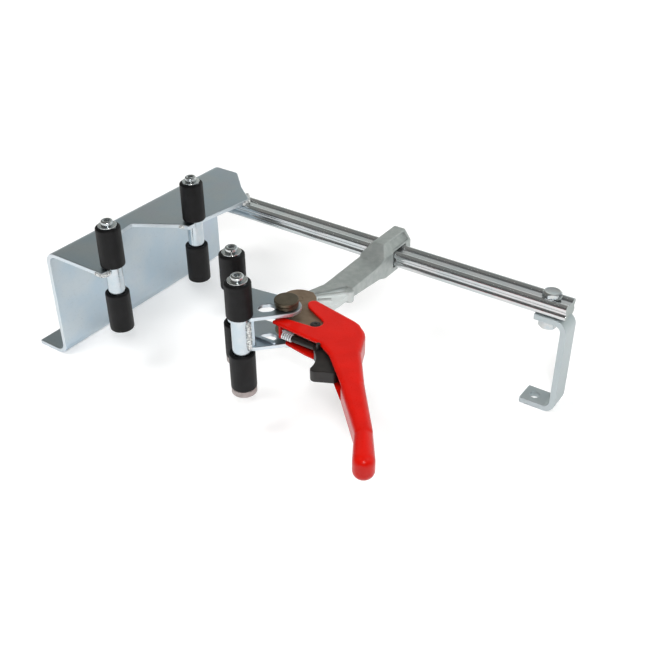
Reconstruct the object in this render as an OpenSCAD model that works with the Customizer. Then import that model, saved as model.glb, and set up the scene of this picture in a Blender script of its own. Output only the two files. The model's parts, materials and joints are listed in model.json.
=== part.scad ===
// Lever clamp that stands on the floor and grips a tyre between four rubber-sleeved posts.
// Lengths are in millimetres. X runs along the rail, away from the fixed jaw. Y runs across it,
// with the posts on the minus side. Z is up. The origin is the anchor hole's centre on the floor.

/* [Rail] */
// Length from the fixed jaw's web to the free end
rail_len = 500; // [420:1:640]
// Width over both edge beads
rail_w = 25; // [22:0.5:30]
// Height over the beads
rail_h = 18; // [15:0.5:21]
// Diameter of the bead at each corner of the section
bead_d = 8.8; // [7:0.2:9]
// Depth of the broad groove in the top and in the bottom
groove_depth = 2.5; // [1:0.25:3.5]

/* [Fixed jaw] */
// Thickness of the bent plate
plate_t = 5; // [4:0.25:6.5]
// Height of the plate over its two flanges
plate_h = 136; // [120:1:165]
// Reach of the plate from the rail's axis to its near end
plate_near = 226; // [215:1:275]
// Reach of the plate from the rail's axis to its far end
plate_far = 47; // [39:1:60]
// Reach of the bottom flange behind the web's front face
sole_reach = 45; // [36:1:60]
// Distance from the web's front face to the fixed posts
fixed_post_x = 80; // [70:1:96]
// Distance from the rail's axis to the nearer fixed post's axis
first_post_y = 80.5; // [67:0.5:97]
// Spacing of the two fixed posts
fixed_post_gap = 127; // [106:1:132]

/* [Posts] */
// Diameter of the steel bar inside a post
bar_d = 18; // [16:0.5:20]
// Outer diameter of the rubber sleeves
sleeve_d = 26; // [24:0.5:31]
// Length of a fixed post's upper sleeve
fixed_upper_len = 45; // [34:0.5:49]
// Length of a fixed post's lower sleeve
fixed_lower_len = 46; // [38:0.5:50]
// Bare length of bar between a fixed post's sleeves
fixed_bare = 32; // [26:0.5:38]
// Length of a moving post's upper sleeve
moving_upper_len = 38; // [29:0.5:42]
// Length of a moving post's lower sleeve
moving_lower_len = 41; // [34:0.5:48]
// Diameter of the washer on top of a post
post_washer_d = 19.5; // [17:0.5:23]
// Thread diameter of the post screws
screw_d = 8; // [6:1:10]
// Thickness of the disc under the moving posts
cap_t = 6.5; // [4:0.5:9]

/* [Foot] */
// Width of the strap
strap_w = 26; // [22:0.5:31]
// Thickness of the strap
strap_t = 6.5; // [5:0.25:8]
// Length of the flange on the floor
foot_len = 39.5; // [36:0.5:47]
// Diameter of the anchor hole
anchor_d = 10.5; // [8:0.5:12]
// Thread diameter of the foot bolt
bolt_d = 10; // [8:1:12]

/* [Sliding arm] */
// Distance from the web to the arm's centre line, as photographed
arm_x = 289.5; // [260:0.5:335]
// Width of the arm along the rail
arm_w = 29; // [26:0.5:35]
// Gap between the arm's window and the rail, on each side
window_gap = 0.5; // [0.35:0.05:1]
// Distance from the rail's axis to the jaw pin
throat = 175; // [165:0.5:210]

/* [Cheeks and pin] */
// Distance from the jaw pin to the lever's pivot, measured across the rail
pivot_reach = 30; // [28:0.5:34]
// Distance from the jaw pin to the rivet
rivet_reach = 33; // [30:0.5:39]
// Thickness of the lever's steel cheeks
cheek_t = 3; // [2.5:0.25:4]
// Diameter of the jaw pin
pin_d = 14; // [12:0.5:15]
// Diameter of the jaw pin's head
pin_head_d = 24; // [20:0.5:28]
// Running gap between a pin and what turns on it
run_gap = 0.06; // [0.03:0.01:0.09]

/* [Moving jaw] */
// Distance from the jaw pin to the line of the moving posts
jaw_reach = 46.5; // [42:0.5:56]
// Spacing of the two moving posts
moving_post_gap = 55; // [46:0.5:66]
// Shift of the post pair towards the rail from the jaw pin
jaw_shift = 16; // [12:0.5:19]
// Thickness of the jaw plates
jaw_t = 4; // [3:0.25:4.5]
// Gap between the two jaw plates
jaw_gap = 30; // [29:0.5:34]
// Turn of the jaw from straight, as photographed
jaw_rest = 45; // [35:1:50]

/* [Lever] */
// Distance from the rivet to the centre of the handle's end
lever_len = 192; // [160:1:230]
// Direction of the handle from the rail's direction, as photographed
handle_way = -43.4; // [-50:0.1:-40]
// Height of the lever over its two plates
lever_h = 24; // [23:0.5:28]
// Thickness of the lever's cover and its walls
lever_t = 3; // [2.5:0.1:3.5]

/* [Trigger] */
// Thickness of the trigger
trigger_t = 12; // [9:0.5:12.5]
// Diameter of the plunger
plunger_d = 7; // [6:0.25:8]
// Outer diameter of the spring
spring_d = 9; // [7.5:0.1:10]
// Diameter of the spring's wire
wire_d = 1.3; // [0.9:0.05:1.5]
// Number of curls in the spring
curls = 5; // [4:1:6]

/* [Hidden] */
$fn = 64;
eps = 0.02;
side_groove = 1.8;
bend_in = 9.5;
bend_out = bend_in + plate_t;
strap_in = 7;
strap_out = strap_in + strap_t;
rail_top = plate_h - plate_t;
rail_bottom = rail_top - rail_h;
mid_z = rail_top - rail_h / 2;
leg_x = rail_len + 4;
anchor_x = leg_x - 27.5;
bolt_x = rail_len - 20.5;
foot_top_len = 36;
bolt_play = 0.6;
bolt_washer_t = 1.5;
bolt_flats = 1.7 * bolt_d;
bolt_head_h = 0.45 * bolt_d;
nut_h = 1.05 * bolt_d;
bolt_seat = rail_top + bolt_washer_t;
nut_top = rail_bottom - strap_t;

// Levels of the posts
sleeve_seat = 1.5;
sleeve_rim = 2;
fixed_upper = plate_h + sleeve_seat;
fixed_lower = fixed_upper - fixed_bare;
moving_bare = jaw_gap + 2 * jaw_t + 2 * sleeve_seat;
moving_upper = mid_z + moving_bare / 2;
moving_lower = mid_z - moving_bare / 2;
post_washer_t = 2;
screw_head_d = 1.625 * screw_d;
screw_head_h = 0.625 * screw_d;
screw_grip = 18;
fixed_spots = [[fixed_post_x, -first_post_y], [fixed_post_x, -first_post_y - fixed_post_gap]];

// Plan points of the mechanism, measured from the web and the rail's axis
pin = [arm_x - 8, -throat];
lever_pivot = pin + [-8, pivot_reach];
rivet = pin + [rivet_reach, 1];
pivot_pin_d = 8;
arm_eye_r = 11;
rivet_d = 7;
rivet_head_t = 0.9;
collar_r = pin_d / 2 + 2.2;
collar_gap = 0.3;
keeper_t = 3;
pin_seat = 0.2;

// Outline of the cheeks: radii about the pivot, the jaw pin, the shoulder, the rivet and the hidden
// tail, and the two points of the square corner beside the pivot
pivot_r = 18;
pin_r = 12;
rivet_r = 8.5;
shoulder = pin + [2, 10];
shoulder_r = 14;
tail_r = 10;
corner = [lever_pivot + [6, 18], lever_pivot + [13, 8]];
window_rim = 0.6;
window_lap = 1;

// Head of the arm round the rail: its back from the rail's axis, its top and bottom from mid height
head_back = rail_w / 2 + 10.5;
head_top = rail_h / 2 + 12;
head_bottom = -rail_h / 2 - 6;

// Layers of the mechanism, as heights above its middle plane
lever_half = lever_h / 2;
lever_in = lever_half - lever_t;
cheek_in = lever_in - cheek_t;
tongue_half = cheek_in - 0.5;
jaw_in = jaw_gap / 2;
jaw_out = jaw_in + jaw_t;
neck_t = 4.2;
head_t = 4;

// The moving jaw's own plan has the pin at its origin and the posts on plus X
jaw_spots = [[jaw_reach, moving_post_gap / 2 - jaw_shift], [jaw_reach, -moving_post_gap / 2 - jaw_shift]];
jaw_nose_r = 14.5;
slot_w = 13;
slot_from = pin_d / 2 + 4 + slot_w / 2;
slot_to = jaw_reach - 25;
jaw_wall_x = jaw_reach - bar_d / 2 - jaw_t - 0.5;
rib = [[31.8, -2.8], [15, 12.3]];
rib_r = 2;
rib_h = 2.4;

// Points of the lever, from the rivet outwards
head_spot = rivet + [30, -3];
root_spot = rivet + 0.275 * lever_len * ray(handle_way + 18.5);
neck_spot = rivet + 0.5 * lever_len * ray(handle_way + 7.8);
grip_spot = rivet + 0.835 * lever_len * ray(handle_way + 2.7);
tip_spot = rivet + lever_len * ray(handle_way);
head_r = 24;
root_r = 15.5;
neck_r = 11;
grip_r = 7.9;
tip_r = 9.4;
prong_r = 2.2;
hub_r = 10;
upper_prong = rivet + [-21, 27];
upper_prong_r = 6;
front_prong = [rivet + [-31.3, -13.2], rivet + [-33.8, -19.5]];
lower_prong = rivet + [-20.5, -17.5];
front_edge = rivet + [12, -23];

// Points of the trigger, the curve of its hollow front, and the plunger ahead of it
trigger_hinge = rivet + [23, -28];
trigger_nose = trigger_hinge + [-3, 8];
trigger_end = trigger_hinge + [15, -26];
trigger_heel = trigger_end + [14, 7];
trigger_pin_d = 4;
hinge_r = 4.2;
nose_r = 5;
trigger_r = 5;
front_r = 30;
front_dip = 4;
trigger_way = trigger_end - trigger_hinge;
trigger_front = [trigger_way[1], -trigger_way[0]] / norm(trigger_way);
front_centre = (trigger_hinge + trigger_end) / 2 + (front_r + trigger_r - front_dip) * trigger_front;
plunger_y = trigger_nose[1];
plunger_end = trigger_nose[0] - nose_r - 0.35;
plunger_len = 26;
spring_len = 14;
seat_x = plunger_end - plunger_len - spring_len;
seat_t = 2.5;

function ray(angle) = [cos(angle), sin(angle)];

// Moves the whole object so that the anchor hole stands at the origin
module placed() {
    translate([-anchor_x, 0, 0])
        children();
}

// Flat outline extruded between two heights
module slab(from, to) {
    translate([0, 0, from])
        linear_extrude(to - from)
            children();
}

// The same slab twice, above and below the mechanism's middle plane
module pair(from, to) {
    slab(mid_z + from, mid_z + to)
        children();
    slab(mid_z - to, mid_z - from)
        children();
}

// Outline that runs straight from one circle to another. Its sides start a hair inside both
// circles, so that they cross them instead of only touching.
module limb(a, ra, b, rb) {
    way = atan2(b[1] - a[1], b[0] - a[0]);
    lean = acos((ra - rb) / norm(b - a));
    tuck = 0.9993;
    translate(a)
        circle(r = ra);
    translate(b)
        circle(r = rb);
    polygon([a + tuck * ra * ray(way + lean), b + tuck * rb * ray(way + lean),
             b + tuck * rb * ray(way - lean), a + tuck * ra * ray(way - lean)]);
}

// Such an outline extruded between two heights
module strut(a, ra, b, rb, from, to) {
    slab(from, to)
        limb(a, ra, b, rb);
}

// Round hole or bar at a plan point
module rod(spot, d, from, to) {
    translate([spot[0], spot[1], from])
        cylinder(d = d, h = to - from);
}

// Hexagon across flats
module hexagon(flats, from, to) {
    slab(from, to)
        circle(d = flats / cos(30), $fn = 6);
}

// Section of the rail: four corner beads, two edges and a thinner middle
module rail_section() {
    side = rail_w / 2 - bead_d / 2;
    level = rail_h / 2 - bead_d / 2;
    for (x = [-side, side])
        for (y = [-level, level])
            translate([x, y])
                circle(d = bead_d);
    square([2 * side, rail_h - 2 * groove_depth], center = true);
    for (x = [-side, side])
        translate([x, 0])
            square([bead_d - 2 * side_groove, 2 * level], center = true);
}

// Wedge cut from the rail's end, so that it clears the inside of the plate's upper bend
module bend_relief() {
    translate([0, rail_w, rail_top - bend_in])
        rotate([90, 0, 0])
            linear_extrude(2 * rail_w)
                polygon([[-1, -1], [bend_in + 1, bend_in + 1], [-1, bend_in + 1]]);
}

module rail() {
    color("silver")
        placed()
            difference() {
                translate([0, 0, mid_z])
                    rotate([90, 0, 90])
                        linear_extrude(rail_len)
                            rail_section();
                rod([bolt_x, 0], bolt_d + bolt_play, rail_bottom - 1, rail_top + 1);
                bend_relief();
            }
}

// Quarter of a bent sheet's corner, in section
module bend(inner, outer) {
    intersection() {
        difference() {
            circle(r = outer);
            circle(r = inner);
        }
        square(outer);
    }
}

// Section of the fixed jaw's plate without its top flange: X across, Y up
module jaw_section() {
    translate([bend_in, rail_top - bend_in])
        rotate(90)
            bend(bend_in, bend_out);
    translate([-plate_t - bend_in, bend_out])
        rotate(270)
            bend(bend_in, bend_out);
    translate([-plate_t, bend_out])
        square([plate_t, plate_h - 2 * bend_out]);
    translate([-sole_reach, 0])
        square([sole_reach - bend_out, plate_t]);
}

// Plan of the top flange, with an ear for each post and a tab over the rail
module flange_plan() {
    near = fixed_spots[1];
    far = fixed_spots[0];
    tab_x = fixed_post_x + 15;
    apex = [fixed_post_x - 53, far[1] - 0.365 * fixed_post_gap];
    apex_near = apex + [2.5, -0.14 * fixed_post_gap];
    edge_gap = bar_d / 2 + 2;
    difference() {
        polygon([[bend_in, -plate_near], [near[0] + 2, -plate_near],
                 [near[0] + 4, near[1]], [near[0] - 8, near[1] + edge_gap], apex_near, apex,
                 [far[0] - 4, far[1] - edge_gap - 6], [far[0] + 6, far[1] - edge_gap - 5],
                 [far[0] + 7, far[1] + edge_gap], [tab_x, -rail_w / 2 - 8], [tab_x + 2, -3],
                 [tab_x - 26, plate_far - 29], [tab_x - 52, plate_far - 4],
                 [tab_x - 57, plate_far], [bend_in, plate_far]]);
        for (spot = fixed_spots)
            translate(spot)
                circle(d = bar_d);
    }
}

module fixed_jaw() {
    color("lightsteelblue")
        placed() {
            translate([0, plate_far, 0])
                rotate([90, 0, 0])
                    linear_extrude(plate_near + plate_far)
                        jaw_section();
            slab(rail_top, plate_h)
                flange_plan();
        }
}

// Bar of one post, with a screw hole in its top and one in its foot if it carries a disc
module post_bar(top, bottom, foot_hole) {
    difference() {
        rod([0, 0], bar_d, bottom, top);
        rod([0, 0], screw_d + 2 * run_gap, top - screw_grip - 1, top + 1);
        if (foot_hole)
            rod([0, 0], screw_d + 2 * run_gap, bottom - 1, bottom + screw_grip / 2 + 1);
    }
}

// Rubber tube with rounded rims
module sleeve(from, length) {
    inner = bar_d / 2 + run_gap;
    outer = sleeve_d / 2;
    rim = min(sleeve_rim, (outer - inner) / 2 - eps);
    translate([0, 0, from])
        rotate_extrude()
            union() {
                translate([inner, 0])
                    square([outer - rim - inner, length]);
                translate([inner, rim])
                    square([outer - inner, length - 2 * rim]);
                for (level = [rim, length - rim])
                    translate([outer - rim, level])
                        circle(r = rim);
            }
}

module ring(d, bore, from, to) {
    difference() {
        rod([0, 0], d, from, to);
        rod([0, 0], bore, from - 1, to + 1);
    }
}

// Cap screw with a hexagon socket, its head standing on the given level
module cap_screw(level) {
    difference() {
        union() {
            rod([0, 0], screw_head_d, level, level + screw_head_h);
            rod([0, 0], screw_d, level - screw_grip, level + eps);
        }
        hexagon(0.75 * screw_d, level + 0.5 * screw_head_h, level + screw_head_h + 1);
    }
}

module on_fixed_spots() {
    placed()
        for (spot = fixed_spots)
            translate(spot)
                children();
}

module fixed_posts() {
    color("gainsboro")
        on_fixed_spots()
            post_bar(fixed_upper + fixed_upper_len, fixed_lower - fixed_lower_len, false);
}

module fixed_upper_sleeves() {
    color("dimgray")
        on_fixed_spots()
            sleeve(fixed_upper, fixed_upper_len);
}

module fixed_lower_sleeves() {
    color("dimgray")
        on_fixed_spots()
            sleeve(fixed_lower - fixed_lower_len, fixed_lower_len);
}

module fixed_post_washers() {
    top = fixed_upper + fixed_upper_len;
    color("silver")
        on_fixed_spots()
            ring(post_washer_d, screw_d + bolt_play, top, top + post_washer_t);
}

module fixed_post_screws() {
    color("gray")
        on_fixed_spots()
            cap_screw(fixed_upper + fixed_upper_len + post_washer_t);
}

// Section of the foot: top flange under the rail, leg, flange on the floor
module foot_section() {
    for (end = [0, 1]) {
        level = end == 0 ? strap_out : rail_bottom - strap_out;
        length = end == 0 ? foot_len : foot_top_len;
        translate([leg_x - strap_out, level])
            rotate(end == 0 ? 270 : 0)
                bend(strap_in, strap_out);
        translate([leg_x - length, end == 0 ? 0 : rail_bottom - strap_t])
            square([length - strap_out, strap_t]);
    }
    translate([leg_x - strap_t, strap_out])
        square([strap_t, rail_bottom - 2 * strap_out]);
}

module foot_bracket() {
    color("silver")
        placed()
            difference() {
                translate([0, strap_w / 2, 0])
                    rotate([90, 0, 0])
                        linear_extrude(strap_w)
                            foot_section();
                rod([anchor_x, 0], anchor_d, -1, strap_t + 1);
                rod([bolt_x, 0], bolt_d + bolt_play, rail_bottom - strap_t - 1, rail_bottom + 1);
            }
}

module on_bolt() {
    placed()
        translate([bolt_x, 0, 0])
            children();
}

module foot_washer() {
    color("silver")
        on_bolt()
            ring(2 * bolt_d, bolt_d + bolt_play, rail_top, bolt_seat);
}

module foot_bolt() {
    color("gray")
        on_bolt() {
            hexagon(bolt_flats, bolt_seat, bolt_seat + bolt_head_h);
            rod([0, 0], bolt_d, nut_top - nut_h - 2, bolt_seat + eps);
        }
}

module foot_nut() {
    color("silver")
        on_bolt()
            difference() {
                hexagon(bolt_flats, nut_top - nut_h, nut_top);
                rod([0, 0], bolt_d + 2 * run_gap, nut_top - nut_h - 1, nut_top + 1);
            }
}

// Blank of the cast arm: head and shank, a rounded tongue and the eye of the lever's pivot
module arm_blank() {
    shank = -throat + 70;
    low = mid_z - rail_h;
    high = mid_z + 2 * rail_h;
    translate([arm_x - arm_w / 2, shank, low])
        cube([arm_w, head_back - shank, high - low]);
    strut([arm_x + 3, shank], arm_w / 2 - 3, [arm_x + 4, shank - 17], arm_w / 2 - 5, low, high);
    strut([arm_x - 4, shank], arm_w / 2 - 4, lever_pivot, arm_eye_r, low, high);
}

// Side of the arm: Y across, height from the middle plane up
module arm_side() {
    tongue = -throat + 80;
    polygon([[head_back, head_bottom], [head_back, head_top], [-rail_w / 2 - 9, head_top],
             [-rail_w / 2 - 24, tongue_half + 1.5], [tongue, tongue_half], [-throat, tongue_half],
             [-throat, -tongue_half], [tongue, -tongue_half],
             [-rail_w / 2 - 28, -tongue_half - 5], [-rail_w / 2 - 16, head_bottom]]);
}

// Front of the arm: X from its centre line, height from the middle plane up
module arm_front() {
    half = arm_w / 2;
    polygon([[-half - 20, head_bottom], [half + 20, head_bottom], [half + 20, 0],
             [half, rail_h / 2 + 1], [6.5, head_top], [-6.5, head_top],
             [-half, rail_h / 2 + 1], [-half - 20, 0]]);
}

module sliding_arm() {
    color("lightsteelblue")
        placed()
            difference() {
                intersection() {
                    arm_blank();
                    translate([arm_x - arm_w - 20, 0, mid_z])
                        rotate([90, 0, 90])
                            linear_extrude(2 * arm_w + 40)
                                arm_side();
                    translate([arm_x, rail_w, mid_z])
                        rotate([90, 0, 0])
                            linear_extrude(throat + 2 * rail_w)
                                arm_front();
                }
                translate([0, -rail_w / 2 - window_gap, rail_bottom - window_gap])
                    cube([rail_len, rail_w + 2 * window_gap, rail_h + 2 * window_gap]);
                rod(lever_pivot, pivot_pin_d, mid_z - 20, mid_z + 20);
            }
}

module pivot_pin() {
    color("dimgray")
        placed()
            rod(lever_pivot, pivot_pin_d, mid_z - lever_in, mid_z + lever_in);
}

// Cheek between two heights: a round eye with one square corner, limbs to the jaw pin and the rivet,
// and a tail that the lever's cover hides
module cheek(low, high) {
    difference() {
        union() {
            strut(lever_pivot, pivot_r, pin, pin_r, low, high);
            slab(low, high)
                polygon([lever_pivot, lever_pivot + [-1, pivot_r - 0.1], corner[0], corner[1],
                         shoulder + (shoulder_r - eps) * ray(63), shoulder]);
            strut(shoulder, shoulder_r, rivet, rivet_r, low, high);
            strut(pin, pin_r, rivet, rivet_r, low, high);
            strut(rivet, rivet_r, head_spot, tail_r, low, high);
        }
        rod(lever_pivot, pivot_pin_d + 2 * run_gap, low - 1, high + 1);
        rod(pin, pin_d, low - 1, high + 1);
        rod(rivet, rivet_d, low - 1, high + 1);
    }
}

module upper_cheek() {
    color("rosybrown")
        placed()
            cheek(mid_z + cheek_in, mid_z + lever_in);
}

module lower_cheek() {
    color("rosybrown")
        placed()
            cheek(mid_z - lever_in, mid_z - cheek_in);
}

module jaw_pin() {
    head_z = mid_z + jaw_out + neck_t;
    color("dimgray")
        placed() {
            rod(pin, pin_d, mid_z - jaw_out - 2 * keeper_t, head_z + eps);
            rod(pin, pin_d + 4, mid_z + jaw_out + pin_seat, head_z + eps);
            rod(pin, pin_head_d, head_z, head_z + head_t);
        }
}

module jaw_pin_collars() {
    color("silver")
        placed()
            translate(pin)
                for (level = [mid_z + lever_in + collar_gap, mid_z - jaw_in + collar_gap])
                    ring(2 * collar_r, pin_d + 2 * run_gap, level, level + jaw_in - lever_in - 2 * collar_gap);
}

module jaw_pin_keeper() {
    top = mid_z - jaw_out - pin_seat;
    color("dimgray")
        placed()
            translate(pin)
                ring(pin_d + 8, pin_d, top - keeper_t, top);
}

module lever_rivet() {
    color("dimgray")
        placed() {
            rod(rivet, rivet_d, mid_z - lever_in - eps, mid_z + lever_in + eps);
            for (level = [mid_z + lever_in, mid_z - lever_in - rivet_head_t])
                rod(rivet, rivet_d + 3, level, level + rivet_head_t);
        }
}

// Handle of the lever, made smaller all round by the given amount
module handle_plan(inset) {
    limb(head_spot, head_r - inset, root_spot, root_r - inset);
    limb(root_spot, root_r - inset, neck_spot, neck_r - inset);
    limb(neck_spot, neck_r - inset, grip_spot, grip_r - inset);
    limb(grip_spot, grip_r - inset, tip_spot, tip_r - inset);
}

// Head of the lever's cover: hub at the rivet, prong beside the cheek's corner, edge over the trigger
module lever_head_plan() {
    limb(rivet, hub_r, head_spot, head_r);
    limb(upper_prong, upper_prong_r, head_spot + [-4, 4], head_r);
    limb(rivet, hub_r, front_edge, prong_r);
    limb(front_edge, prong_r, head_spot, head_r);
}

// Prong of the upper side that reaches past the jaw pin, square at its end
module front_prong_plan() {
    limb(front_prong[0], prong_r, front_prong[1], prong_r);
    limb(front_prong[1], prong_r, front_edge, prong_r);
    limb(front_prong[0], prong_r, rivet, hub_r - 1);
    polygon([front_prong[0], front_prong[1], front_edge, rivet]);
}

// Plan of the window in the lever's cover that shows the cheek: the cover laps over the cheek's edge and
// leaves room for the collar on the jaw pin
module cheek_window() {
    limb(shoulder, shoulder_r - window_lap, rivet, rivet_r - window_lap);
    limb(pin, collar_r + window_rim, rivet, rivet_r - window_lap);
}

// Plan of the part of the handle's wall that is left open for the arm and the trigger
module lever_mouth() {
    low = neck_spot + 6 * ray(handle_way + 9);
    polygon([rivet + [-80, 80], rivet + [14, 80], rivet + [14, 5], head_spot + [0, -9],
             low, low + 45 * ray(handle_way - 90), rivet + [-80, -80]]);
}

module lever() {
    low = mid_z - lever_half;
    high = mid_z + lever_half;
    color("red")
        placed()
            difference() {
                union() {
                    pair(lever_in, lever_half) {
                        handle_plan(0);
                        lever_head_plan();
                    }
                    slab(mid_z + lever_in, high)
                        front_prong_plan();
                    slab(low, mid_z - lever_in) {
                        limb(lower_prong, prong_r, front_edge, prong_r);
                        limb(lower_prong, prong_r, rivet, hub_r - 1);
                        polygon([lower_prong, front_edge, rivet]);
                    }
                    slab(low, high)
                        difference() {
                            handle_plan(0);
                            handle_plan(lever_t);
                            lever_mouth();
                        }
                    translate([seat_x - seat_t, plunger_y - 3, mid_z - spring_d / 2])
                        cube([seat_t, 6, spring_d / 2 + lever_half - eps]);
                }
                slab(low - 1, high + 1)
                    cheek_window();
                rod(trigger_hinge, trigger_pin_d, low - 1, high + 1);
            }
}

module trigger() {
    low = mid_z - trigger_t / 2;
    high = mid_z + trigger_t / 2;
    color("black")
        placed()
            difference() {
                union() {
                    strut(trigger_hinge, hinge_r, trigger_nose, nose_r, low, high);
                    strut(trigger_hinge, hinge_r, trigger_end, trigger_r, low, high);
                    strut(trigger_hinge, hinge_r, trigger_heel, trigger_r, low, high);
                    strut(trigger_hinge, hinge_r, (trigger_end + trigger_heel) / 2, trigger_r, low, high);
                    strut(trigger_end, trigger_r, trigger_heel, trigger_r, low, high);
                }
                rod(trigger_hinge, trigger_pin_d + 2 * run_gap, low - 1, high + 1);
                rod(front_centre, 2 * front_r, low - 1, high + 1);
            }
}

module trigger_pin() {
    color("gray")
        placed()
            rod(trigger_hinge, trigger_pin_d, mid_z - lever_half, mid_z + lever_half);
}

// Lays children that stand along Z down along the plunger's axis, their foot at the given X
module along_plunger(x) {
    placed()
        translate([x, plunger_y, mid_z])
            rotate([0, 90, 0])
                children();
}

module plunger() {
    guide_d = spring_d - 2 * wire_d - 0.8;
    color("black")
        along_plunger(plunger_end - plunger_len) {
            cylinder(d = plunger_d, h = plunger_len);
            translate([0, 0, -spring_len / 3])
                cylinder(d = guide_d, h = spring_len / 3 + eps);
        }
}

// Centre line of the spring's wire: straight, coiled, straight
rings_per_curl = 8;
wire_sides = 6;
coil_r = (spring_d - wire_d) / 2;
coil_rise = spring_len - wire_d - 0.4;
coil_steps = curls * rings_per_curl;
coil_points = [for (i = [0:coil_steps])
    let (turn = 360 * i / rings_per_curl)
    [coil_r * cos(turn), coil_r * sin(turn), 0.2 + wire_d / 2 + coil_rise * i / coil_steps]];
wire_path = concat([coil_points[0] - [0, wire_d, 0]], coil_points,
                   [coil_points[coil_steps] + [0, wire_d, 0]]);

// Least gap between the wire and the same wire one curl on or further
coil_gap = min([for (i = [0:coil_steps - rings_per_curl])
    for (j = [i + rings_per_curl:coil_steps])
        norm(coil_points[i] - coil_points[j])]) - wire_d;
echo(spring_wire_gap_mm = coil_gap);

// Direction of a path at one of its points
function heading(path, i) =
    let (a = path[max(i - 1, 0)], b = path[min(i + 1, len(path) - 1)])
    (b - a) / norm(b - a);

// Closed tube of triangles along a path that rises about Z
module wire(path, d, sides) {
    points = [for (i = [0:len(path) - 1])
        let (along = heading(path, i))
        let (up = [0, 0, 1] - along * along[2])
        let (lift = up / norm(up))
        let (side = cross(along, lift))
        for (k = [0:sides - 1])
            path[i] + d / 2 * (cos(360 * k / sides) * side + sin(360 * k / sides) * lift)];
    last = (len(path) - 1) * sides;
    skin = [for (i = [0:len(path) - 2])
        for (k = [0:sides - 1])
            let (a = i * sides + k, b = i * sides + (k + 1) % sides)
            for (face = [[a, b + sides, b], [a, a + sides, b + sides]])
                face];
    first_end = [for (k = [1:sides - 2]) [0, k, k + 1]];
    last_end = [for (k = [1:sides - 2]) [last, last + k + 1, last + k]];
    polyhedron(points, concat(skin, first_end, last_end));
}

module plunger_spring() {
    color("white")
        along_plunger(seat_x)
            wire(wire_path, wire_d, wire_sides);
}

// Carries children from the moving jaw's own plan to where the photograph shows it
module on_jaw() {
    placed()
        translate(pin)
            rotate(180 + jaw_rest)
                children();
}

module jaw_plan() {
    near = jaw_spots[0] - [3, 0];
    far = jaw_spots[1] - [3, 0];
    difference() {
        union() {
            limb([0, 0], jaw_nose_r, near, 4);
            limb([0, 0], jaw_nose_r, far, 6);
            polygon([[0, 0], near, far]);
            translate([jaw_reach - 13, far[1]])
                square([10, near[1] - far[1]]);
        }
        for (spot = jaw_spots)
            translate(spot)
                circle(d = bar_d);
        circle(d = pin_d + 2 * run_gap);
        limb([slot_from, 0], slot_w / 2, [slot_to, 0], slot_w / 2 - eps);
    }
}

module moving_jaw() {
    wall_from = jaw_spots[1][1] + 2;
    wall_to = jaw_spots[0][1];
    color("lightsteelblue")
        on_jaw() {
            pair(jaw_in, jaw_out)
                jaw_plan();
            translate([jaw_wall_x, wall_from, mid_z - jaw_in - eps])
                cube([jaw_t, wall_to - wall_from, jaw_gap + 2 * eps]);
            strut(rib[0], rib_r, rib[1], rib_r, mid_z - jaw_in - eps, mid_z - jaw_in + rib_h);
        }
}

module on_jaw_spots() {
    on_jaw()
        for (spot = jaw_spots)
            translate(spot)
                children();
}

module moving_posts() {
    color("gainsboro")
        on_jaw_spots()
            post_bar(moving_upper + moving_upper_len, moving_lower - moving_lower_len, true);
}

module moving_upper_sleeves() {
    color("dimgray")
        on_jaw_spots()
            sleeve(moving_upper, moving_upper_len);
}

module moving_lower_sleeves() {
    color("dimgray")
        on_jaw_spots()
            sleeve(moving_lower - moving_lower_len, moving_lower_len);
}

module moving_post_washers() {
    top = moving_upper + moving_upper_len;
    color("silver")
        on_jaw_spots()
            ring(post_washer_d, screw_d + bolt_play, top, top + post_washer_t);
}

module moving_post_screws() {
    color("gray")
        on_jaw_spots()
            cap_screw(moving_upper + moving_upper_len + post_washer_t);
}

module post_caps() {
    bottom = moving_lower - moving_lower_len;
    color("rosybrown")
        on_jaw_spots() {
            rod([0, 0], sleeve_d - 0.5, bottom - cap_t, bottom);
            rod([0, 0], screw_d, bottom - eps, bottom + screw_grip / 2);
        }
}

rail();
fixed_jaw();
fixed_posts();
fixed_upper_sleeves();
fixed_lower_sleeves();
fixed_post_washers();
fixed_post_screws();
foot_bracket();
foot_washer();
foot_bolt();
foot_nut();
sliding_arm();
pivot_pin();
upper_cheek();
lower_cheek();
jaw_pin();
jaw_pin_collars();
jaw_pin_keeper();
lever_rivet();
lever();
trigger();
trigger_pin();
plunger();
plunger_spring();
moving_jaw();
moving_posts();
moving_upper_sleeves();
moving_lower_sleeves();
moving_post_washers();
moving_post_screws();
post_caps();
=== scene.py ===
"""Looks of the tyre clamp: camera, studio, finishes and detailed pieces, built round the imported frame.

Meshes are made in millimetres in the frame's axes, and piece() scales them to metres.
"""
import json
import math

import bmesh
import bpy
from mathutils import Matrix, Vector, noise


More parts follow.
